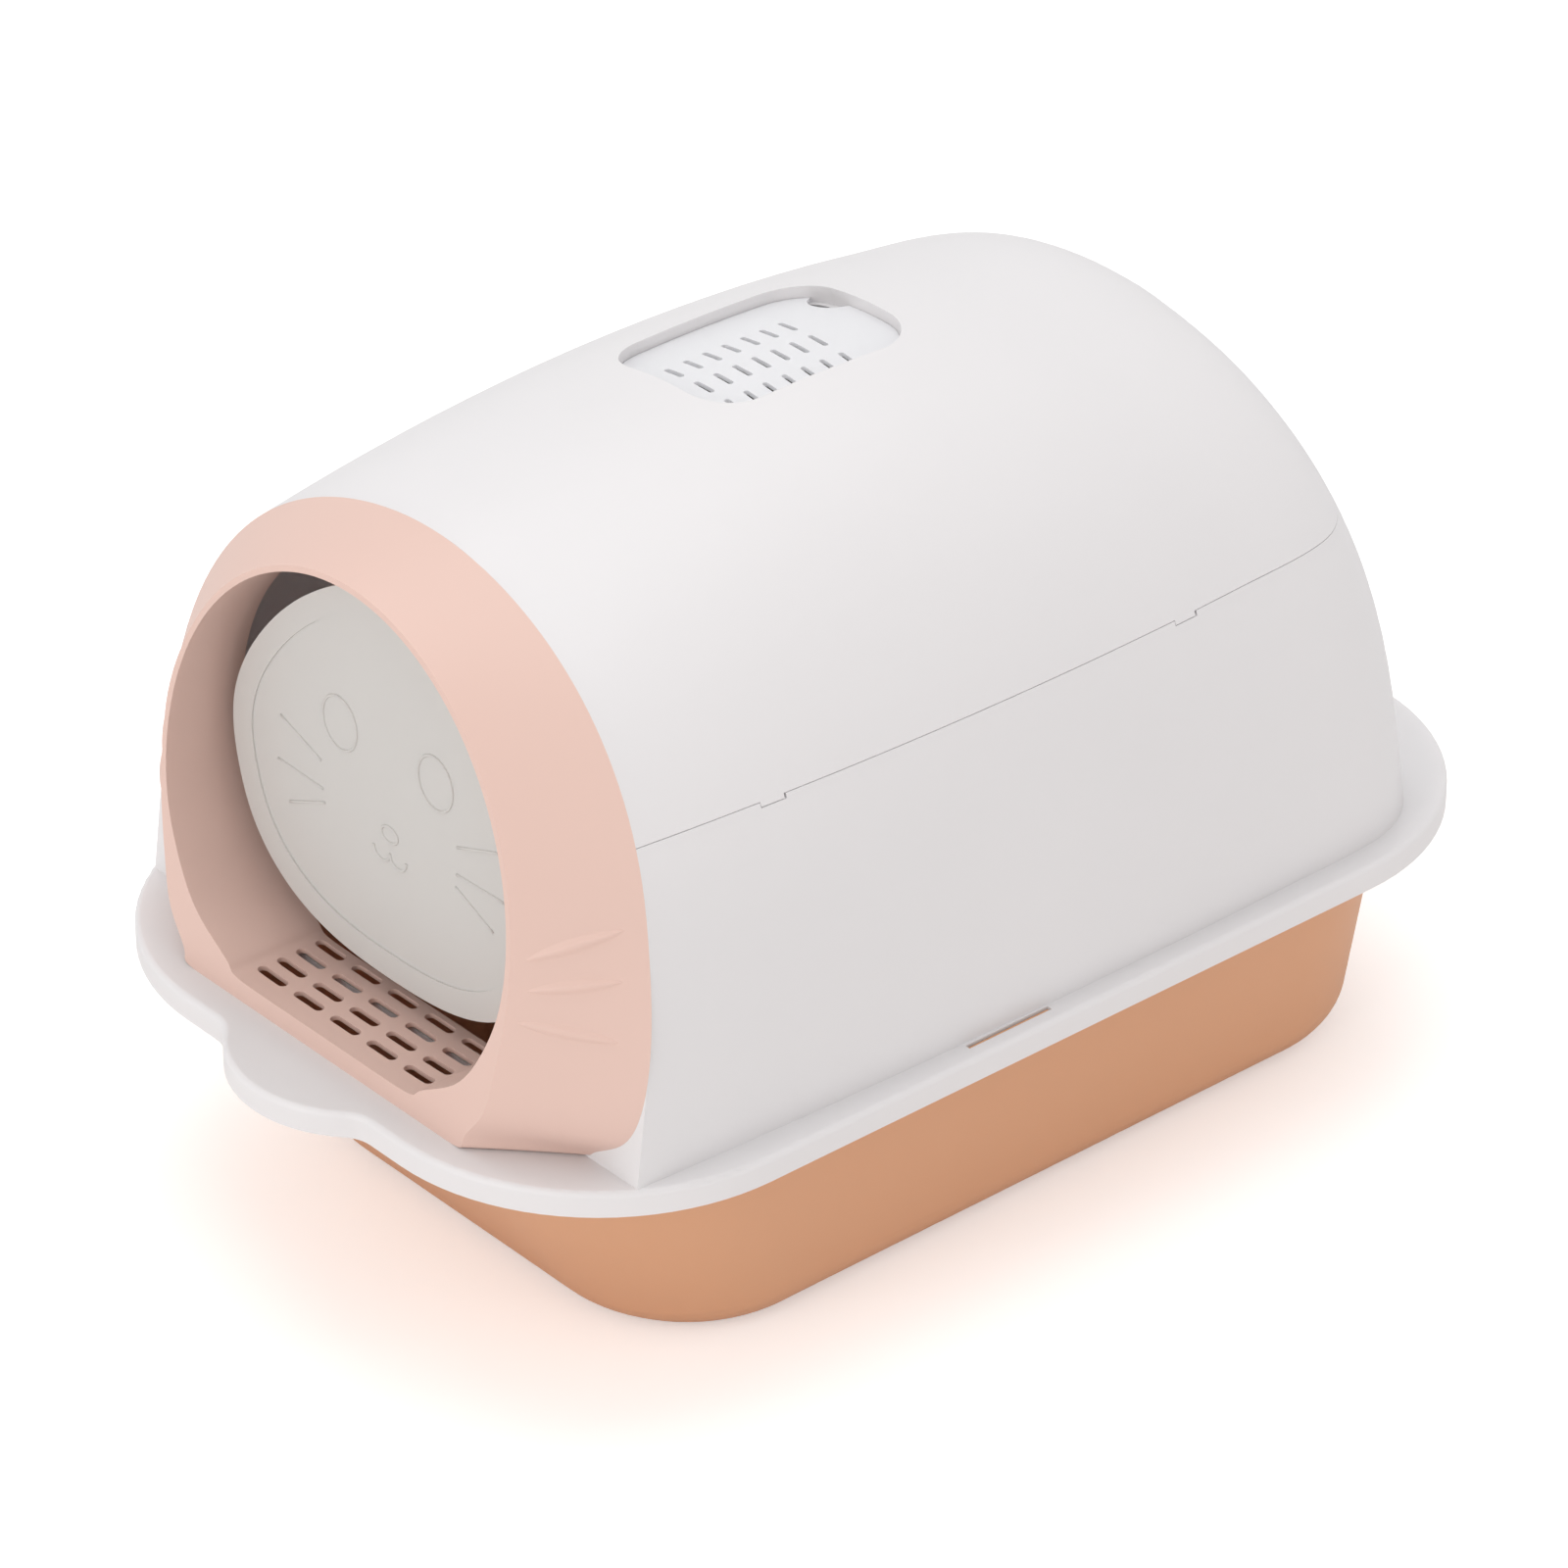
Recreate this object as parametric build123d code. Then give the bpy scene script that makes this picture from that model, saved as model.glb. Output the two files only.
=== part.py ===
from build123d import *
import math
import os

# A covered litter box: a deep pan, a white hood in two halves that stands on the pan's rim,
# a coloured entrance frame with a slotted step, a swinging flap, and an odour filter in the crown.
# Millimetres, +Z up. The entrance faces -Y. The origin is on the floor under the middle of the rim.

# Rim of the hood, which sets how much floor the box takes
rim_width = 400.0
rim_length = 620.0
rim_corner = 120.0
rim_height = 13.0
rim_edge_round = 3.0
tongue_radius = 66.0
tongue_reach = 23.0
tongue_blend = 18.0
wall = 2.5

# Pan
pan_depth = 125.0
pan_floor = 3.0
pan_mouth_width = 347.0
pan_mouth_front = -285.0
pan_mouth_back = 282.0
pan_mouth_corner = 98.0
pan_foot_width = 304.0
pan_foot_front = -205.0
pan_foot_back = 262.0
pan_foot_corner = 74.0
pan_foot_round = 26.0
pan_rim_gap = 4.5
pan_rim_thickness = 2.5

# Hood: an arch whose foot and crown both bow along the box
hood_half_width = 187.9
hood_widest_y = 30.0
hood_side_bow = 1.0
hood_rise = 275.5
hood_highest_y = -27.4
hood_crown_sag = 5.2
arch_out_power = 1.045
arch_up_power = 0.601
hood_front_y = -253.0
hood_front_lean = 0.125
hood_back_y = 262.0
hood_back_lean = -0.16
hood_back_round = 60.0
seam_height = 162.0
seam_gap = 0.4
front_flange = 6.0
front_overrun = 8.0

# Lap lip inside the seam, and the four snap tabs that cross it
lap_height = 5.0
lap_thickness = 1.6
lap_gap = 0.5
tab_width = 13.0
tab_drop = 2.0
tab_gap = 0.3
tab_lift_room = 1.2
tab_front_y = -158.5
tab_back_y = 91.5

# Catches on the pan's rim, seen through slots in the ledge
catch_length = 50.0
catch_thickness = 1.6
catch_height = 1.4
catch_y = -36.5
catch_out = 2.2
catch_gap = 0.7

# Mouth of the entrance
mouth_y = -293.0
mouth_lean = 0.1
mouth_half_width = 125.0
mouth_waist = 105.0
mouth_top_rise = 134.0
mouth_flat = 46.0
skin_foot_flat = 93.0
mouth_floor = 10.0
mouth_lip = 3.0
tunnel_back_y = -238.0
frame_corner = 50.0
hollow_past = 4.0
clip_length = 14.0
clip_reach = 9.0
clip_thickness = 2.0
clip_gap = 0.3
clip_height = 84.0

# Slots in the step
slot_length = 20.0
slot_width = 5.5
slot_columns = 5
slot_rows = 4
slot_pitch_x = 27.3
slot_pitch_y = 11.4
slot_front_y = -278.0

# Opening through the ledge, under the step
porch_half_width = 84.0
porch_front_y = -284.0
porch_corner = 20.0

# Flap, its bead and its axle
flap_y = -250.0
flap_thickness = 2.4
flap_half_width = 115.0
flap_widest = 121.0
flap_top = 232.0
flap_floor_gap = 13.0
flap_top_power = 1.5
flap_bottom_power = 2.6
flap_band = 14.0
flap_band_step = 1.0
axle_radius = 2.0
axle_gap = 0.05
axle_below_top = 4.0
knuckle_radius = 4.6
knuckle_length = 60.0
bracket_gap = 0.6
bracket_thickness = 5.0
bracket_radius = 5.0

# Odour filter in the crown, a little to one side of the middle
vent_width = 88.0
vent_length = 124.0
vent_x = -16.0
vent_y = -11.0
vent_corner = 24.0
vent_gap = 0.4
vent_set_in = 6.0
vent_thickness = 2.2
vent_seat_gap = 0.3
vent_seat_width = 3.5
vent_slot_length = 13.0
vent_slot_width = 3.0
vent_slot_rows = 7
vent_slot_pitch_y = 11.6
vent_slot_front_y = -57.0
vent_slot_columns = 3
vent_slot_pitch_x = 21.5
vent_slot_offset = 14.0
vent_notch_radius = 12.0
vent_notch_offset = 20.0
well_wall = 2.0
well_floor_drop = 31.0
well_ledge = 5.0
tray_gap = 0.4
tray_thickness = 1.8
tray_wall_height = 5.0
tray_slot_columns = 4
tray_slot_pitch_x = 19.0
filter_gap = 0.4
filter_thickness = 4.0

# Heights and places that follow from the sizes above
ledge_top = pan_depth + rim_height
ledge_under = ledge_top - wall
seam_z = ledge_top + seam_height
crown_z = ledge_under + hood_rise
waist_z = ledge_top + mouth_waist
axle_z = ledge_top + flap_top - axle_below_top
axle_y = flap_y + flap_thickness / 2
axle_length = knuckle_length + 2 * bracket_gap + 2 * bracket_thickness - wall
arch_steps = 10
hood_stations = 10
far = 1000.0


def side_reach(y):
    """Half the hood's width at its foot, largest at hood_widest_y."""
    return hood_half_width - hood_side_bow * ((y - hood_widest_y) / 100) ** 2


def crown_rise(y):
    """Height of the hood's crown above the underside of the ledge."""
    return hood_rise - hood_crown_sag * ((y - hood_highest_y) / 100) ** 2


def lean_at(y):
    """Slope of a cross-section, which turns steadily from the leaning front to the leaning back."""
    share = (y - hood_front_y) / (hood_back_y - hood_front_y)
    return hood_front_lean + share * (hood_back_lean - hood_front_lean)


def arch_width(half, up):
    """Half width of the arch at the fraction up of its rise."""
    return half * (1 - up ** (2 / arch_up_power)) ** (arch_out_power / 2)


def arched_face(right, start):
    """A face with mirrored halves: a curve that leaves its first point along start, and a flat foot."""
    left = [(-x, y, z) for x, y, z in reversed(right)]
    finish = (start[0], -start[1], -start[2])
    halves = [Spline(*right, tangents=(start, (-1, 0, 0))), Spline(*left, tangents=((-1, 0, 0), finish))]
    return Face(Wire(halves + [Line(left[-1], right[0])]))


def arch_face(y, inset, shrink, foot):
    """A closed cross-section of the hood, standing on the line at y and leaning as the hood does there."""
    lean = lean_at(y)
    half = side_reach(y) - inset - shrink
    rise = crown_rise(y + lean * hood_rise) - inset - shrink + ledge_under - foot
    right = []
    for step in range(arch_steps, -1, -1):
        up = math.cos(math.radians(90 * step / arch_steps)) if step < arch_steps else 0
        z = foot + rise * up
        right.append((arch_width(half, up) if step else 0, y + lean * (z - ledge_under), z))
    return arched_face(right, (0, lean, 1))


def hood_body(inset, foot, front_extra=0.0):
    """The whole hood as one solid, its surface drawn in by inset."""
    corner = hood_back_round - inset
    start = hood_front_y - front_extra
    turn_y = hood_back_y - hood_back_round
    spacing = (turn_y - start) / hood_stations
    faces = [arch_face(start + index * spacing, inset, 0, foot) for index in range(hood_stations + 1)]
    for angle in (18, 36, 52, 66, 78, 90):
        turn = math.radians(angle)
        shrink = corner * (1 - math.cos(turn))
        faces.append(arch_face(turn_y + corner * math.sin(turn), inset, shrink, foot))
    return loft(faces)


def slab(low, high):
    """Everything between two heights."""
    return Pos(0, 0, (low + high) / 2) * Box(far, far, high - low)


def behind(plane, depth=far):
    """Everything behind a plane that faces the front, down to a depth."""
    return extrude(plane * Rectangle(far, 2 * far), -depth)


ring_plane = Plane(
    origin=(0, hood_front_y, ledge_under), x_dir=(1, 0, 0), z_dir=(0, -1, hood_front_lean)
)
mouth_plane = Plane(origin=(0, mouth_y, ledge_top), x_dir=(1, 0, 0), z_dir=(0, -1, mouth_lean))


def ring_y(z):
    """Where the hood's front edge is at a height."""
    return hood_front_y + hood_front_lean * (z - ledge_under)


def mouth_plane_y(z):
    """Where the mouth's front edge is at a height."""
    return mouth_y + mouth_lean * (z - ledge_top)


def front_outline(right_half, y_of, shift=0.0):
    """A face inside a closed outline, from its right half, which runs from the bottom to the crown."""
    return arched_face([(x, y_of(z) + shift, z) for x, z in right_half], (1, 0, 0))


def ring_outline(inset, shift=0.0):
    """Outline of the entrance frame where it meets the hood: the hood's arch with rounded feet."""
    half = side_reach(hood_front_y) - inset
    rise = crown_rise(hood_front_y + hood_front_lean * hood_rise) - inset
    centre_z = ledge_top + frame_corner
    up_there = (centre_z - ledge_under) / rise
    centre_x = arch_width(half, up_there) + inset - frame_corner
    radius = frame_corner - inset
    right = []
    for angle in (-90, -67.5, -45, -22.5, 0):
        turn = math.radians(angle)
        right.append((centre_x + radius * math.cos(turn), centre_z + radius * math.sin(turn)))
    for step in range(arch_steps - 3, -1, -1):
        up = math.cos(math.radians(90 * step / arch_steps))
        if up > up_there + 0.05:
            right.append((arch_width(half, up) if step else 0, ledge_under + rise * up))
    return front_outline(right, ring_y, shift)


def mouth_points(grow, bottom, flat=mouth_flat):
    """Right half of the mouth: flat floor, a quarter ellipse up to the waist, a round top."""
    right = []
    for angle in (-90, -72, -54, -36, -18, 0):
        turn = math.radians(angle)
        x = flat + (mouth_half_width - flat + grow) * math.cos(turn)
        right.append((x, waist_z + (waist_z - bottom) * math.sin(turn)))
    for angle in (15, 30, 45, 60, 75, 90):
        turn = math.radians(angle)
        x = (mouth_half_width + grow) * math.cos(turn)
        right.append((x if angle < 90 else 0, waist_z + (mouth_top_rise + grow) * math.sin(turn)))
    return right


def egg_points(inset):
    """Outline of the flap: broad and flat-bottomed below, narrow at the top."""
    half = flap_half_width - inset
    widest = ledge_top + flap_widest
    top = ledge_top + flap_top - inset
    bottom = ledge_top + mouth_floor + flap_floor_gap + inset
    points = []
    for step in range(24):
        turn = math.radians(15 * step + 90)
        power = flap_top_power if math.sin(turn) > 0 else flap_bottom_power
        tall = top - widest if math.sin(turn) > 0 else widest - bottom
        x = half * math.copysign(abs(math.cos(turn)) ** (2 / power), math.cos(turn))
        z = widest + tall * math.copysign(abs(math.sin(turn)) ** (2 / power), math.sin(turn))
        points.append((0 if step in (0, 12) else x, z))
    return points


def egg_face(inset, y):
    """The flap's outline as a face standing at y."""
    points = [(x, y, z) for x, z in egg_points(inset)]
    return Face(Wire([Spline(*points, periodic=True)]))


def upright_slots(length, width, columns, rows, low, high):
    """Round-ended slots along X, cut straight up through everything between two heights."""
    places = [Pos(x, y, low) for x in columns for y in rows]
    return extrude(Sketch() + [place * SlotOverall(length, width) for place in places], high - low)


def centred(count, pitch):
    """Places of a row of equal pitch about zero."""
    return [(index - (count - 1) / 2) * pitch for index in range(count)]


def both_sides(solid):
    """The solid and its mirror image on the other side of the box."""
    return [solid, mirror(solid, Plane.YZ)]


def porch_cut(low, high):
    """Block that opens the ledge, and the frame's foot, under the slotted step."""
    length = hood_front_y - porch_front_y + porch_corner
    shape = RectangleRounded(2 * porch_half_width, length, porch_corner - 1)
    return Pos(0, porch_front_y + length / 2, low) * extrude(shape, high - low)


def pan_body(inset, floor_z, top_z, round_size):
    """Tapered tub between the foot and the mouth of the pan, with a rounded foot."""
    foot = Pos(0, (pan_foot_front + pan_foot_back) / 2, floor_z) * RectangleRounded(
        pan_foot_width - 2 * inset, pan_foot_back - pan_foot_front - 2 * inset, pan_foot_corner - inset
    )
    mouth = Pos(0, (pan_mouth_front + pan_mouth_back) / 2, top_z) * RectangleRounded(
        pan_mouth_width - 2 * inset,
        pan_mouth_back - pan_mouth_front - 2 * inset,
        pan_mouth_corner - inset,
    )
    body = loft([foot, mouth], ruled=True)
    return fillet(body.faces().sort_by(Axis.Z)[0].edges(), round_size)


def make_pan():
    """The pan: tub, turned-out rim under the hood's ledge, and a catch on each side."""
    rim_half = rim_width / 2 - wall - pan_rim_gap
    rim_plate = Pos(0, 0, ledge_under - pan_rim_thickness) * extrude(
        RectangleRounded(2 * rim_half, rim_length - 2 * (wall + pan_rim_gap), rim_corner - wall - pan_rim_gap),
        pan_rim_thickness,
    )
    pan = pan_body(0, 0, ledge_under, pan_foot_round) + rim_plate
    pan -= pan_body(wall, pan_floor, ledge_under, pan_foot_round - wall)
    catch_x = side_reach(catch_y) + catch_out + catch_thickness / 2
    catch = Pos(catch_x, catch_y, ledge_under + catch_height / 2) * Box(
        catch_thickness, catch_length, catch_height
    )
    return pan + both_sides(catch)


def rim_sketch():
    """Outline of the rim: a rounded rectangle with a grip tongue at the front."""
    tongue = Pos(0, tongue_radius - tongue_reach - rim_length / 2) * Circle(tongue_radius)
    outline = RectangleRounded(rim_width, rim_length, rim_corner) + tongue
    corners = outline.vertices().filter_by(lambda v: abs(v.X) < tongue_radius and v.Y < 0)
    return fillet(corners, tongue_blend)


def make_hood_base(outer, inner, lap_outer, lap_inner):
    """Lower half of the hood: rim, ledge and walls up to the seam, with a lap lip inside it."""
    outline = rim_sketch()
    rim = Pos(0, 0, pan_depth) * extrude(outline, rim_height)
    rim = fillet(rim.faces().sort_by(Axis.Z)[-1].edges(), rim_edge_round)
    rim -= Pos(0, 0, pan_depth) * extrude(offset(outline, -wall), rim_height - wall)
    base = rim + (outer & slab(ledge_under, seam_z))
    base -= inner & slab(ledge_under - 1, seam_z + 1) & behind(ring_plane)
    base += front_ring(outer, ledge_under, seam_z)
    base -= porch_cut(ledge_under - 1, ledge_top + 1)
    clear_of_frame = behind(ring_plane) - behind(ring_plane, 2 * front_flange)
    lap = (outer & slab(seam_z - lap_height, seam_z)) + (
        lap_outer & slab(seam_z - lap_height, seam_z + lap_height)
    )
    base += (lap - lap_inner) & clear_of_frame
    slot_x = side_reach(catch_y) + catch_out + catch_thickness / 2
    slot = Pos(slot_x, catch_y, ledge_under) * Box(
        catch_thickness + 2 * catch_gap, catch_length + 2 * catch_gap, 3 * wall
    )
    notch_length = tab_width + tab_gap + tab_lift_room
    for tab_y in (tab_front_y, tab_back_y):
        notch = Pos(0, tab_y - tab_gap + notch_length / 2 - tab_width / 2, seam_z) * Box(
            far, notch_length, 2 * (tab_drop + tab_gap)
        )
        base -= (notch & outer) - (lap_outer & notch)
    return base - both_sides(slot)


def front_ring(outer, low, high):
    """Flange just behind the hood's front edge, which the entrance frame bears on."""
    ring = outer & slab(low, high) & behind(ring_plane, wall)
    return ring - extrude(ring_outline(front_flange), 4 * wall, dir=(0, 1, 0)) - extrude(
        ring_outline(front_flange), 4 * wall, dir=(0, -1, 0)
    )


def vent_prism(shrink, low, high):
    """Upright block with the outline of the filter's opening."""
    shape = RectangleRounded(vent_width - 2 * shrink, vent_length - 2 * shrink, vent_corner - shrink)
    return Pos(vent_x, vent_y, low) * extrude(shape, high - low)


def vent_slots(columns, low, high):
    """The rows of slots in the filter's cover or tray."""
    rows = [vent_slot_front_y + index * vent_slot_pitch_y for index in range(vent_slot_rows)]
    return upright_slots(vent_slot_length, vent_slot_width, columns, rows, low, high)


def make_hood_top(outer, inner, seat_top, seat_under):
    """Upper half of the hood, with the filter's well and four snap tabs."""
    top = (outer - inner) & slab(seam_z + seam_gap, crown_z + 1)
    top += front_ring(outer, seam_z + seam_gap, crown_z + 1)
    top -= vent_prism(0, seam_z, crown_z + 1)
    well_floor = crown_z - well_floor_drop
    well = vent_prism(-well_wall, well_floor, crown_z + 1) - vent_prism(0, well_floor, crown_z + 1)
    well += vent_prism(0, well_floor, well_floor + wall) - vent_prism(well_ledge, well_floor, crown_z)
    top += well & outer
    seat = vent_prism(0, well_floor, crown_z) - vent_prism(vent_seat_width, well_floor, crown_z)
    top += (seat & seat_top) - seat_under
    for tab_y in (tab_front_y, tab_back_y):
        tab = Pos(0, tab_y, seam_z + seam_gap - tab_drop / 2) * Box(far, tab_width, tab_drop + seam_gap)
        top += (outer - inner) & tab
    return top


def flare(depth, past=0.0):
    """The frame's flared outside as a solid, at a depth below its surface."""
    points = mouth_points(mouth_lip - depth, ledge_top + depth, skin_foot_flat)
    return loft([front_outline(points, mouth_plane_y, depth), ring_outline(depth, past)], ruled=True)


def make_entry_frame():
    """Entrance frame: flared skin, tunnel with a slotted step, flap brackets and clips.

    One half is made and mirrored, because both halves are alike.
    """
    half_space = Pos(-far / 2, 0, 0) * Box(far, far, far)
    mouth_bottom = ledge_top + mouth_floor
    skin = (flare(0) & half_space) - flare(wall, hollow_past)
    skin -= porch_cut(ledge_top - 1, ledge_top + wall + 1)

    tube_length = tunnel_back_y - mouth_y + 2 * wall
    tube_face = front_outline(mouth_points(wall, mouth_bottom - wall), lambda z: tunnel_back_y)
    tube_block = extrude(tube_face, tube_length, dir=(0, -1, 0)) & half_space
    bore_face = front_outline(mouth_points(0, mouth_bottom), lambda z: tunnel_back_y + wall)
    bore = extrude(bore_face, 2 * tube_length, dir=(0, -1, 0))
    frame = skin + (tube_block & behind(mouth_plane)) - bore
    columns = centred(slot_columns, slot_pitch_x)
    rows = [slot_front_y + index * slot_pitch_y for index in range(slot_rows)]
    frame -= upright_slots(
        slot_length, slot_width, columns, rows, ledge_top - 1, mouth_bottom + 2 * mouth_floor
    )

    axle_x = -(knuckle_length / 2 + bracket_gap + bracket_thickness / 2)
    roof_z = waist_z + mouth_top_rise
    bracket = Pos(axle_x, axle_y, axle_z) * Rot(0, 90, 0) * Cylinder(bracket_radius, bracket_thickness)
    bracket += Pos(axle_x, axle_y, (axle_z + roof_z) / 2) * Box(
        bracket_thickness, 2 * bracket_radius, roof_z - axle_z
    )
    frame += bracket & tube_block
    frame -= Pos(0, axle_y, axle_z) * Rot(0, 90, 0) * Cylinder(axle_radius + axle_gap, axle_length + axle_gap)

    clip_rise = crown_rise(hood_front_y + hood_front_lean * hood_rise) - front_flange
    clip_up = (clip_height + clip_length / 2) / clip_rise
    clip_x = arch_width(side_reach(hood_front_y) - front_flange, clip_up) - clip_gap
    clip_z = ledge_under + clip_height
    clip = Pos(-clip_x + clip_thickness / 2, ring_y(clip_z) + clip_reach / 3, clip_z) * Box(
        clip_thickness, 4 * clip_reach / 3, clip_length
    )
    rib = Pos(-clip_x, ring_y(clip_z) - clip_reach / 2 - wall / 2, clip_z) * Box(
        4 * front_flange, clip_reach - wall, clip_length
    )
    frame += clip + (rib & flare(wall / 2, hollow_past))
    return frame + mirror(frame, Plane.YZ)


def make_flap():
    """The flap: an egg-shaped panel with a raised band round it and a knuckle along its top."""
    flap = extrude(egg_face(0, flap_y), flap_thickness, dir=(0, 1, 0))
    flap -= extrude(egg_face(flap_band, flap_y), flap_band_step, dir=(0, 1, 0))
    knuckle = Pos(0, axle_y, axle_z) * Rot(0, 90, 0) * Cylinder(knuckle_radius, knuckle_length)
    flap += knuckle
    return flap - Pos(0, axle_y, axle_z) * Rot(0, 90, 0) * Cylinder(
        axle_radius + axle_gap, 2 * knuckle_length
    )


def make_axle():
    """Steel axle of the flap, held at both ends in the frame's brackets."""
    return Pos(0, axle_y, axle_z) * Rot(0, 90, 0) * Cylinder(axle_radius, axle_length)


def make_vent_cover(cover_top, cover_under):
    """Slotted cover that follows the crown, a little below it, with a notch for a fingertip."""
    cover = (vent_prism(vent_gap, seam_z, crown_z) & cover_top) - cover_under
    columns = [vent_x + vent_slot_offset + x for x in centred(vent_slot_columns, vent_slot_pitch_x)]
    cover -= vent_slots(columns, seam_z, crown_z)
    notch = Pos(vent_x - vent_notch_offset, vent_y + vent_length / 2, crown_z)
    return cover - notch * Cylinder(vent_notch_radius, crown_z - seam_z)


def make_filter_tray():
    """Tray that stands on the well's ledge and holds the filter over its slots."""
    floor_z = crown_z - well_floor_drop + wall
    tray = vent_prism(tray_gap, floor_z, floor_z + tray_wall_height)
    tray -= vent_prism(tray_gap + tray_thickness, floor_z + tray_thickness, crown_z)
    columns = [vent_x + x for x in centred(tray_slot_columns, tray_slot_pitch_x)]
    return tray - vent_slots(columns, floor_z - 1, floor_z + tray_thickness + 1)


def make_filter():
    """Carbon foam pad in the tray."""
    floor_z = crown_z - well_floor_drop + wall + tray_thickness
    return vent_prism(tray_gap + tray_thickness + filter_gap, floor_z, floor_z + filter_thickness)


hood_outer = hood_body(0, ledge_under)
hood_inner = hood_body(wall, ledge_under - 1, front_overrun)
lap_outer = hood_body(wall + lap_gap, ledge_under, front_overrun)
lap_inner = hood_body(wall + lap_gap + lap_thickness, ledge_under, front_overrun)
cover_top = hood_body(vent_set_in, ledge_under)
cover_under = hood_body(vent_set_in + vent_thickness, ledge_under)
seat_top = hood_body(vent_set_in + vent_thickness + vent_seat_gap, ledge_under)
seat_under = hood_body(vent_set_in + vent_thickness + vent_seat_gap + wall, ledge_under)

pieces = {
    "litter_pan": make_pan(),
    "hood_base": make_hood_base(hood_outer, hood_inner, lap_outer, lap_inner),
    "hood_top": make_hood_top(hood_outer, hood_inner, seat_top, seat_under),
    "entry_frame": make_entry_frame(),
    "door_flap": make_flap(),
    "door_axle": make_axle(),
    "vent_cover": make_vent_cover(cover_top, cover_under),
    "filter_tray": make_filter_tray(),
    "carbon_filter": make_filter(),
}

os.makedirs("parts", exist_ok=True)
for name, solid in pieces.items():
    export_step(solid, f"parts/{name}.step")
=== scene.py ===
import bpy
import numpy as np
from mathutils import Matrix, Vector
from mathutils.bvhtree import BVHTree


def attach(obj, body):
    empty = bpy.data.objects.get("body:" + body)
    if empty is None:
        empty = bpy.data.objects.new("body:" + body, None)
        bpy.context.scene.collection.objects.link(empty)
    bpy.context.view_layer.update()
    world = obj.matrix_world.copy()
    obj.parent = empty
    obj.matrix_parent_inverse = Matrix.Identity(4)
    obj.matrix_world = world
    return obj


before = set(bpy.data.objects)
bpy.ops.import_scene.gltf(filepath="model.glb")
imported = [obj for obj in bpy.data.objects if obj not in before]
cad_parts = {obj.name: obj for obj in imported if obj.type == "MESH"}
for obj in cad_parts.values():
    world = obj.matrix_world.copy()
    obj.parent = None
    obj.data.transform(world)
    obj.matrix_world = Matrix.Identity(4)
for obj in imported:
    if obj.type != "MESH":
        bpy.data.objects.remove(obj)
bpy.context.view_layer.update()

# The room: a white studio with one wide lamp overhead and two dimmer ones, at the front and at the
# side. The floor shows as white but keeps the box's soft shadow. Nothing here is part of the box.
MM = 0.001
VIEW_AZIMUTH = np.radians(49.206)
VIEW_ELEVATION = np.radians(31.672)
VIEW_DISTANCE = 3.99617
VIEW_RIGHT = 0.007637
VIEW_UP = -0.03588
VIEW_BASE = 0.125
FOCAL_PIXELS = 8447.05
PHOTO_PIXELS = 1600
SENSOR_MM = 36
VIEW_REACH = 20
FLOOR_REACH = 6
FLOOR_LIFT = 0.34
FLOOR_ROUGHNESS = 0.9
WORLD_STRENGTH = 0.72
LAMP_AIM = (0, 0, 0.2)
LAMPS = (
    # name, place, size, watts, colour
    ("overhead", (-0.4, 0.2, 2.6), 2.4, 25, "#FFFFFF"),
    ("front", (0.3, -2.8, 1.0), 1.8, 21, "#FFFAF6"),
    ("side", (2.8, 0.6, 1.1), 1.8, 9, "#FFF2EA"),
)


def linear(hex_colour):
    """Turns an sRGB hex colour into the linear values that a shader takes."""
    srgb = np.array([int(hex_colour[i:i + 2], 16) for i in (1, 3, 5)]) / 255
    low = srgb <= 0.04045
    return (*np.where(low, srgb / 12.92, ((srgb + 0.055) / 1.055) ** 2.4), 1.0)


def add_camera():
    """The photograph's viewpoint, worked out from the box's own edges."""
    sin_a, cos_a = np.sin(VIEW_AZIMUTH), np.cos(VIEW_AZIMUTH)
    sin_e, cos_e = np.sin(VIEW_ELEVATION), np.cos(VIEW_ELEVATION)
    back = np.array([sin_a * cos_e, -cos_a * cos_e, sin_e])
    right = np.array([cos_a, sin_a, 0.0])
    up = np.cross(back, right)
    place = VIEW_DISTANCE * back - VIEW_RIGHT * right - VIEW_UP * up + np.array([0, 0, VIEW_BASE])
    data = bpy.data.cameras.new("camera")
    data.sensor_width = SENSOR_MM
    data.lens = FOCAL_PIXELS / PHOTO_PIXELS * SENSOR_MM
    data.clip_end = VIEW_REACH
    camera = bpy.data.objects.new("camera", data)
    camera.matrix_world = Matrix(
        [[right[i], up[i], back[i], place[i]] for i in range(3)] + [[0, 0, 0, 1]]
    )
    bpy.context.scene.collection.objects.link(camera)
    bpy.context.scene.camera = camera


def add_lamp(name, place, size, watts, colour):
    """A square soft lamp that faces the box."""
    data = bpy.data.lights.new(name, "AREA")
    data.size, data.energy, data.color = size, watts, linear(colour)[:3]
    lamp = bpy.data.objects.new(name, data)
    lamp.location = place
    lamp.rotation_euler = (Vector(LAMP_AIM) - Vector(place)).to_track_quat("-Z", "Y").to_euler()
    bpy.context.scene.collection.objects.link(lamp)


def add_node(tree, kind, settings=None, **links):
    """Adds a shader node, sets its properties or sockets, and links other sockets into its own."""
    node = tree.nodes.new(kind)
    for name, value in (settings or {}).items():
        if name in node.inputs:
            node.inputs[name].default_value = value
        else:
            setattr(node, name, value)
    for name, source in links.items():
        tree.links.new(source, node.inputs[name.replace("_", " ")])
    return node


def new_material(name):
    """An empty node material, with its output node."""
    material = bpy.data.materials.new(name)
    material.use_nodes = True
    material.node_tree.nodes.clear()
    return material, material.node_tree, material.node_tree.nodes.new("ShaderNodeOutputMaterial")


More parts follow.
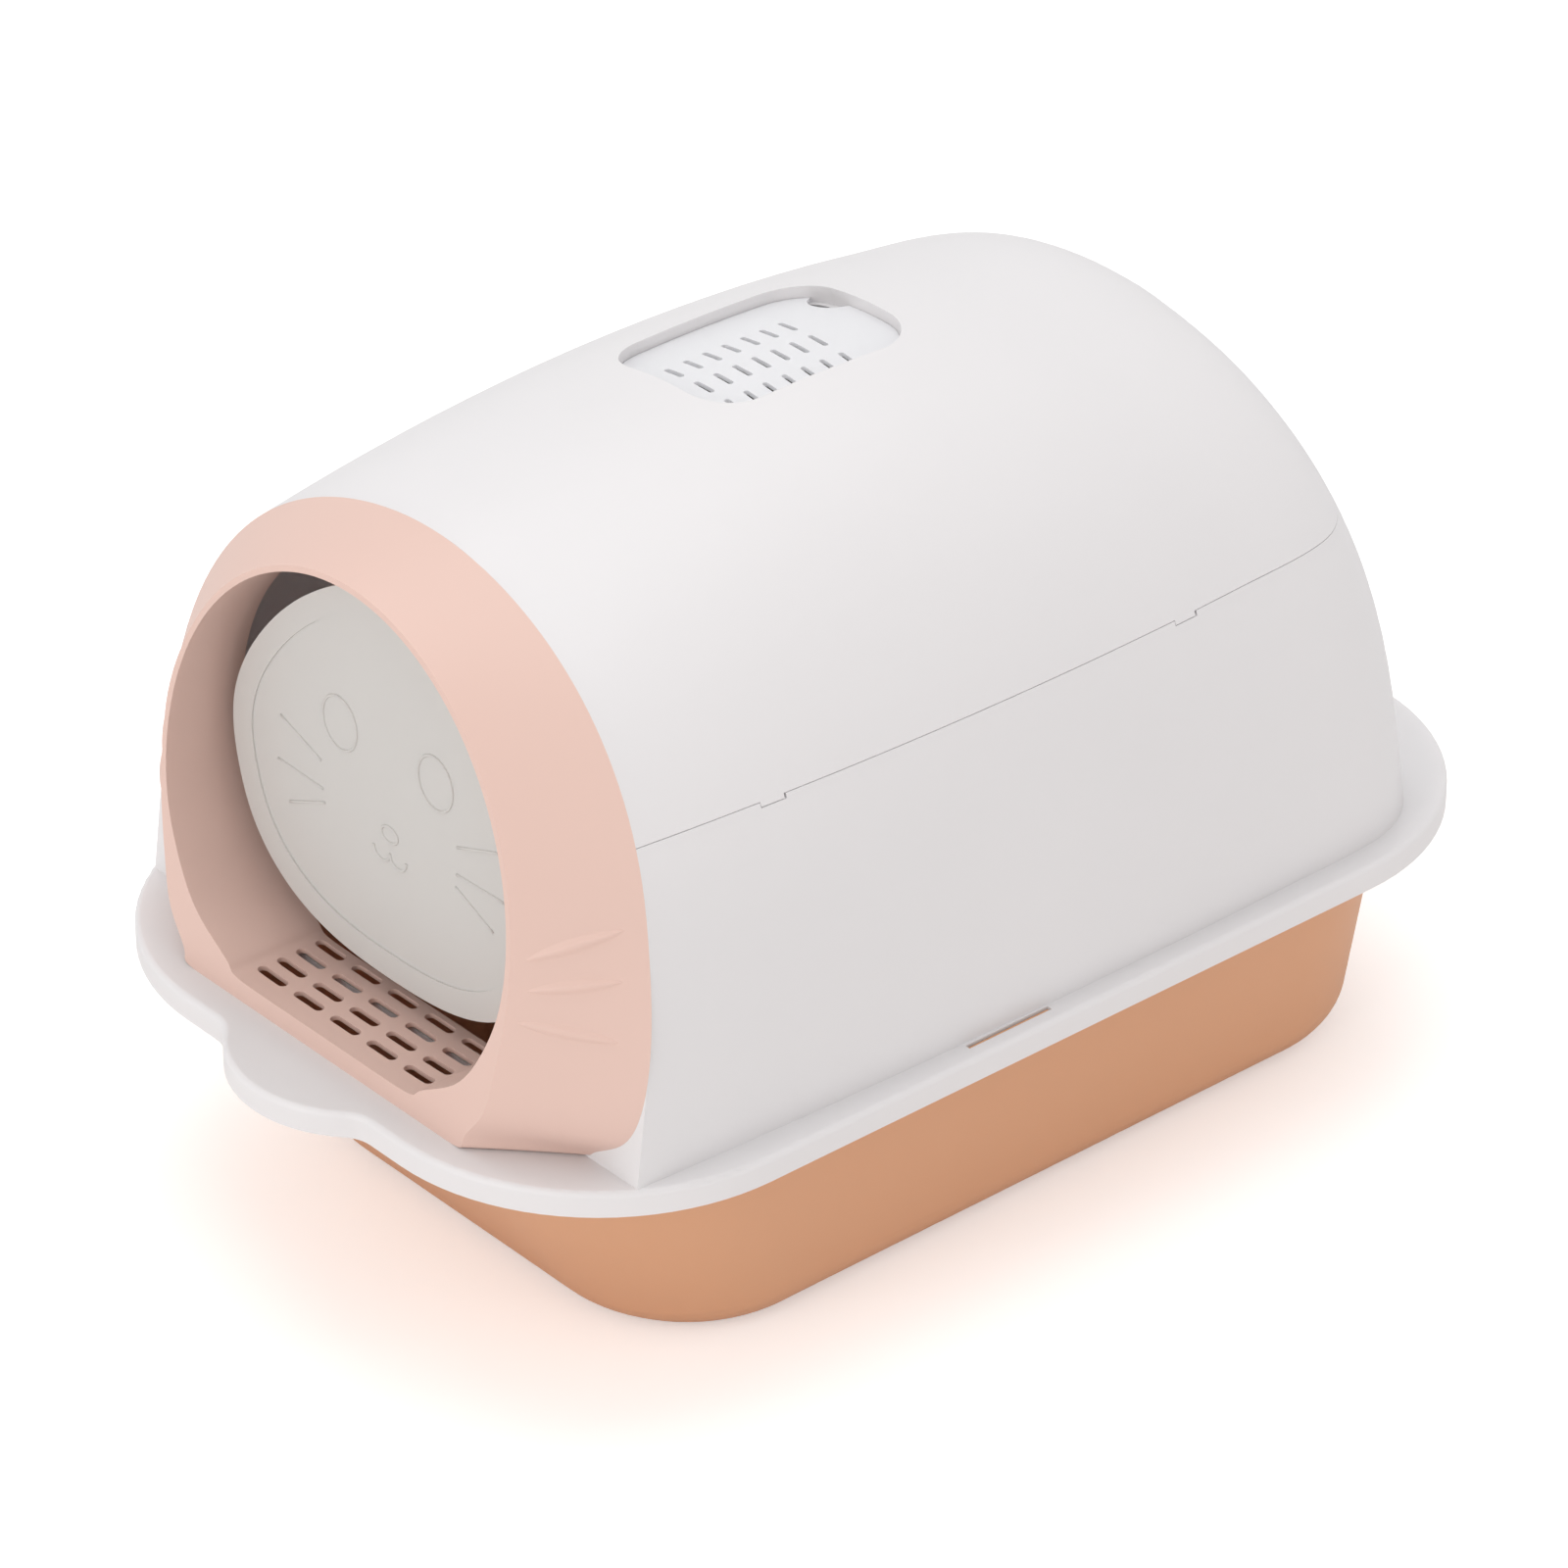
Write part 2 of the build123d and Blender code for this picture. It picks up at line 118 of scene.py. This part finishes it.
def add_floor():
    """A wide floor whose own faint glow, seen by the camera alone, brings the lit paper up to white."""
    material, tree, output = new_material("floor_paper")
    paper = add_node(
        tree, "ShaderNodeBsdfPrincipled", {"Base Color": linear("#F4F4F4"), "Roughness": FLOOR_ROUGHNESS}
    )
    rays = add_node(tree, "ShaderNodeLightPath")
    lift = add_node(tree, "ShaderNodeMath", {"operation": "MULTIPLY"})
    lift.inputs[1].default_value = FLOOR_LIFT
    tree.links.new(rays.outputs["Is Camera Ray"], lift.inputs[0])
    tree.links.new(lift.outputs[0], paper.inputs["Emission Strength"])
    paper.inputs["Emission Color"].default_value = linear("#FFFFFF")
    tree.links.new(paper.outputs["BSDF"], output.inputs["Surface"])
    mesh = bpy.data.meshes.new("floor")
    corners = [(-1, -1), (1, -1), (1, 1), (-1, 1)]
    mesh.from_pydata([(x * FLOOR_REACH, y * FLOOR_REACH, 0) for x, y in corners], [], [(0, 1, 2, 3)])
    floor = bpy.data.objects.new("floor", mesh)
    floor.data.materials.append(material)
    bpy.context.scene.collection.objects.link(floor)


def add_world():
    """Even white light from all round. The camera, and rays off gloss or through plastic, see plain white."""
    world = bpy.data.worlds.new("studio")
    world.use_nodes = True
    tree = world.node_tree
    sky = tree.nodes["Background"]
    sky.inputs["Color"].default_value = linear("#FFFFFF")
    rays = add_node(tree, "ShaderNodeLightPath")
    seen = rays.outputs["Is Camera Ray"]
    for name in ("Is Glossy Ray", "Is Transmission Ray"):
        either = add_node(tree, "ShaderNodeMath", {"operation": "MAXIMUM"})
        tree.links.new(seen, either.inputs[0])
        tree.links.new(rays.outputs[name], either.inputs[1])
        seen = either.outputs[0]
    strength = add_node(tree, "ShaderNodeMath", {"operation": "MULTIPLY_ADD"})
    tree.links.new(seen, strength.inputs[0])
    strength.inputs[1].default_value = 1 - WORLD_STRENGTH
    strength.inputs[2].default_value = WORLD_STRENGTH
    tree.links.new(strength.outputs[0], sky.inputs["Strength"])
    bpy.context.scene.world = world


add_world()
bpy.context.scene.view_settings.view_transform = "Standard"
add_camera()
add_floor()
for lamp_row in LAMPS:
    add_lamp(*lamp_row)

# The pan: a deep tub of pink polypropylene, injection moulded, with a fine spark-eroded texture
# outside. Its turned-out rim carries the hood and has a catch on each side. Its colour is a deeper,
# warmer peach than its lit pink: the shade under the hood's rim, painted into its colour.
# This colour is the pan's pink, darkened and warmed as painted shade.
PAN_PINK_WITH_PAINTED_SHADE = "#E3AC86"
PLASTIC_IOR = 1.49
TONE_PATCH_MM = 1000 / 6
TONE_DETAIL = 3.0
TONE_CHANGE = 0.02
GRAIN_MM = 0.5
GRAIN_DETAIL = 2.0
GRAIN_STRENGTH = 0.06
GRAIN_DEPTH_MM = 0.1


def moulded(name, colour, roughness, through):
    """Injection-moulded polypropylene: satin, faintly uneven in tone, with the mould's fine texture.

    through is the share of light that passes on through the thin wall and spreads.
    """
    material, tree, output = new_material(name)
    place = add_node(tree, "ShaderNodeTexCoord").outputs["Object"]
    cloud = add_node(
        tree, "ShaderNodeTexNoise", {"Scale": 1 / (TONE_PATCH_MM * MM), "Detail": TONE_DETAIL}, Vector=place
    )
    base = np.array(linear(colour))
    mix = add_node(tree, "ShaderNodeMix", {"data_type": "RGBA"})
    mix.inputs[6].default_value = np.clip(base * (1 - TONE_CHANGE), 0, 1)
    mix.inputs[7].default_value = np.clip(base * (1 + TONE_CHANGE), 0, 1)
    tree.links.new(cloud.outputs["Fac"], mix.inputs["Factor"])
    grain = add_node(
        tree, "ShaderNodeTexNoise", {"Scale": 1 / (GRAIN_MM * MM), "Detail": GRAIN_DETAIL}, Vector=place
    )
    bump = add_node(
        tree, "ShaderNodeBump", {"Strength": GRAIN_STRENGTH, "Distance": GRAIN_DEPTH_MM * MM},
        Height=grain.outputs["Fac"]
    )
    plastic = add_node(
        tree, "ShaderNodeBsdfPrincipled", {"Roughness": roughness, "IOR": PLASTIC_IOR},
        Base_Color=mix.outputs[2], Normal=bump.outputs["Normal"]
    )
    glow = add_node(tree, "ShaderNodeBsdfTranslucent", Color=mix.outputs[2])
    share = add_node(tree, "ShaderNodeMixShader", {"Fac": through})
    tree.links.new(plastic.outputs["BSDF"], share.inputs[1])
    tree.links.new(glow.outputs["BSDF"], share.inputs[2])
    tree.links.new(share.outputs["Shader"], output.inputs["Surface"])
    return material


def dress(node, material):
    """Gives a CAD piece its finish."""
    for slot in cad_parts[node].material_slots:
        slot.material = material


# The pan's material carries that painted shade in its base colour.
dress("litter_pan", moulded("polypropylene_pink_with_painted_shade_moulded", PAN_PINK_WITH_PAINTED_SHADE, 0.45, through=0.12))

# The hood's lower half: white polypropylene, injection moulded, with the wide rim that hangs over the
# pan, the grip tongue at the front, and the walls up to the seam.
HOOD_COLOUR = "#EDEBEC"
hood_plastic = moulded("polypropylene_white_moulded", HOOD_COLOUR, 0.42, through=0.15)
dress("hood_base", hood_plastic)

# The hood's upper half: the same white plastic, snapped onto the lower half at the seam, with the
# filter's opening in its crown.
dress("hood_top", hood_plastic)

# The entrance frame: pink polypropylene, moulded in one piece with its tunnel and slotted step, and
# clipped to the hood. Each cheek carries three raised leaf-shaped marks, as whiskers.
FRAME_COLOUR = "#E8C8BC"
MARK_WIDTH = 8.0
MARK_HEIGHT = 1.8
MARK_SUNK = 0.1
MARK_SWELL_POWER = 0.6
MARK_TRIM = 0.01
MARK_ENDS = (
    ((132.9, 248.3), (162.5, 265.0)),
    ((134.5, 232.9), (166.0, 241.0)),
    ((131.1, 216.4), (168.0, 211.2)),
)
MARK_STEPS = 40
MARK_RIBS = 12
IN_FRONT_OF_BOX = -1


def add_piece(name, points, faces, material, body, slot):
    """Makes a piece from points in metres and faces, smooth, riding on a body."""
    mesh = bpy.data.meshes.new(name)
    mesh.from_pydata([tuple(point) for point in points], [], faces)
    mesh.polygons.foreach_set("use_smooth", np.ones(len(mesh.polygons), dtype=bool))
    mesh.update()
    piece = bpy.data.objects.new(name, mesh)
    piece.data.materials.append(material)
    bpy.context.scene.collection.objects.link(piece)
    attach(piece, body)
    return piece


def surface_finder(node):
    """A search tree of a CAD piece's faces, for laying a mark on its surface."""
    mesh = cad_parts[node].data
    return BVHTree.FromPolygons([v.co for v in mesh.vertices], [p.vertices for p in mesh.polygons])


def leaf_mark(finder, side, inner, outer):
    """A low leaf on the frame's skin between two (x, z) points in mm.

    Across the leaf its height falls as (1 - v^2)^2, and along it width and height go as sin(pi u)^0.6.
    Its edge lies just under the skin.
    """
    inner, outer = np.array(inner), np.array(outer)
    along = outer - inner
    across = np.array([-along[1], along[0]]) / np.hypot(*along)
    points = []
    for u in np.linspace(MARK_TRIM, 1 - MARK_TRIM, MARK_STEPS):
        swell = np.sin(np.pi * u) ** MARK_SWELL_POWER
        for v in np.linspace(-1, 1, MARK_RIBS + 1):
            x, z = inner + u * along + v * swell * MARK_WIDTH / 2 * across
            start = Vector((side * x * MM, IN_FRONT_OF_BOX, z * MM))
            hit, normal, *_ = finder.ray_cast(start, Vector((0, 1, 0)))
            height = MARK_HEIGHT * swell * (1 - v * v) ** 2 - MARK_SUNK
            points.append(hit + normal * (height * MM))
    row = MARK_RIBS + 1
    faces = []
    for i in range(MARK_STEPS - 1):
        for j in range(MARK_RIBS):
            corner = i * row + j
            quad = (corner, corner + row, corner + row + 1, corner + 1)
            faces.append(quad if side > 0 else quad[::-1])
    return points, faces


def joined(shapes):
    """Several (points, faces) shapes as one."""
    points, faces = [], []
    for more_points, more_faces in shapes:
        faces += [tuple(index + len(points) for index in face) for face in more_faces]
        points += list(more_points)
    return points, faces


frame_plastic = moulded("polypropylene_pink_moulded", FRAME_COLOUR, 0.45, through=0.12)
dress("entry_frame", frame_plastic)
skin = surface_finder("entry_frame")
marks = joined([leaf_mark(skin, side, *ends) for side in (1, -1) for ends in MARK_ENDS])
add_piece("cheek_marks", *marks, frame_plastic, "hood", "frame_plastic")

# The flap: a sheet of frosted polypropylene with a raised band round it. Fine raised lines on its
# panel draw a plain cat's face: two eyes, a nose, a mouth and three whiskers a side.
FLAP_COLOUR = "#E4E2DF"
PANEL_Y = -249.0
LINE_RADIUS = 0.75
LINE_SIDES = 8
EYE_X = 35.0
EYE_Z = 284.0
EYE_WIDTH = 12.5
EYE_HEIGHT = 14.0
EYE_STEPS = 49
WHISKERS = (((50, 257), (80, 268)), ((49, 242), (83, 243)), ((48, 235), (75, 223)))
WHISKER_STEPS = 8
NOSE_Z = 240.0
NOSE_WIDTH = 6.0
NOSE_FLATNESS = 0.7
NOSE_STEPS = 25
MOUTH_Z = 230.0
MOUTH_RADIUS = 6.0
MOUTH_STEPS = 36


def line_tube(path, closed=False):
    """A round ridge along a path of (x, z) points in mm on the panel, half sunk in it."""
    path = np.array(path, dtype=float)
    if closed:
        tangent = np.roll(path, -1, axis=0) - np.roll(path, 1, axis=0)
    else:
        tangent = np.gradient(path, axis=0)
    tangent /= np.linalg.norm(tangent, axis=1)[:, None]
    points = []
    for (x, z), (tx, tz) in zip(path, tangent):
        for turn in np.linspace(0, 2 * np.pi, LINE_SIDES, endpoint=False):
            out, lift = LINE_RADIUS * np.cos(turn), LINE_RADIUS * np.sin(turn)
            points.append(((x - tz * out) * MM, (PANEL_Y - lift) * MM, (z + tx * out) * MM))
    count = len(path)
    faces = []
    for i in range(count if closed else count - 1):
        for j in range(LINE_SIDES):
            a, b = i * LINE_SIDES + j, i * LINE_SIDES + (j + 1) % LINE_SIDES
            c, d = (b + LINE_SIDES) % (count * LINE_SIDES), (a + LINE_SIDES) % (count * LINE_SIDES)
            faces.append((a, b, c, d))
    if not closed:
        faces.append(tuple(range(LINE_SIDES))[::-1])
        faces.append(tuple((count - 1) * LINE_SIDES + j for j in range(LINE_SIDES)))
    return points, faces


def arc(centre, radius_x, radius_z, start, end, steps):
    """Points of an elliptic arc in (x, z), in degrees."""
    turn = np.radians(np.linspace(start, end, steps))
    return np.stack([centre[0] + radius_x * np.cos(turn), centre[1] + radius_z * np.sin(turn)], axis=1)


flap_plastic = moulded("polypropylene_frosted_moulded", FLAP_COLOUR, 0.38, through=0.3)
dress("door_flap", flap_plastic)
face_lines = []
for side in (1, -1):
    eye = arc((side * EYE_X, EYE_Z), EYE_WIDTH, EYE_HEIGHT, 0, 360, EYE_STEPS)[:-1]
    smile = arc((side * MOUTH_RADIUS, MOUTH_Z), MOUTH_RADIUS, MOUTH_RADIUS, 180, 360, MOUTH_STEPS)
    face_lines += [line_tube(eye, closed=True), line_tube(smile)]
    for inner, outer in WHISKERS:
        whisker = np.linspace((side * inner[0], inner[1]), (side * outer[0], outer[1]), WHISKER_STEPS)
        face_lines.append(line_tube(whisker))
nose = arc((0, NOSE_Z), NOSE_WIDTH, NOSE_WIDTH * NOSE_FLATNESS, 0, 360, NOSE_STEPS)[:-1]
face_lines.append(line_tube(nose, closed=True))
add_piece("flap_face", *joined(face_lines), flap_plastic, "flap", "frosted_plastic")

# The flap's axle: a drawn steel rod, held at both ends in the frame's brackets.
ROD_COLOUR = "#B9BBBE"
ROD_ROUGHNESS = 0.3
material, tree, output = new_material("steel_drawn")
steel = add_node(
    tree, "ShaderNodeBsdfPrincipled",
    {"Base Color": linear(ROD_COLOUR), "Metallic": 1.0, "Roughness": ROD_ROUGHNESS}
)
tree.links.new(steel.outputs["BSDF"], output.inputs["Surface"])
dress("door_axle", material)

# The filter's cover: clear-frosted polypropylene, a thin slotted panel that lies in the crown's
# opening and follows its curve.
COVER_COLOUR = "#FBFBFD"
dress("vent_cover", moulded("polypropylene_clear_moulded", COVER_COLOUR, 0.3, through=0.35))

# The filter's tray: white polypropylene, a shallow slotted dish on the ledge of the well.
dress("filter_tray", hood_plastic)

# The filter: a pad of open-cell foam loaded with active carbon, cut from sheet, matt and full of pores.
CARBON_COLOUR = "#3A322C"
CARBON_ROUGHNESS = 0.95
PORE_MM = 1.2
PORE_DEPTH_MM = 0.6
PORE_STRENGTH = 0.8
material, tree, output = new_material("foam_carbon_loaded")
place = add_node(tree, "ShaderNodeTexCoord")
pores = add_node(
    tree, "ShaderNodeTexVoronoi", {"Scale": 1 / (PORE_MM * MM)}, Vector=place.outputs["Object"]
)
pits = add_node(
    tree, "ShaderNodeBump", {"Strength": PORE_STRENGTH, "Distance": PORE_DEPTH_MM * MM},
    Height=pores.outputs["Distance"]
)
foam = add_node(
    tree, "ShaderNodeBsdfPrincipled", {"Base Color": linear(CARBON_COLOUR), "Roughness": CARBON_ROUGHNESS},
    Normal=pits.outputs["Normal"]
)
tree.links.new(foam.outputs["BSDF"], output.inputs["Surface"])
dress("carbon_filter", material)
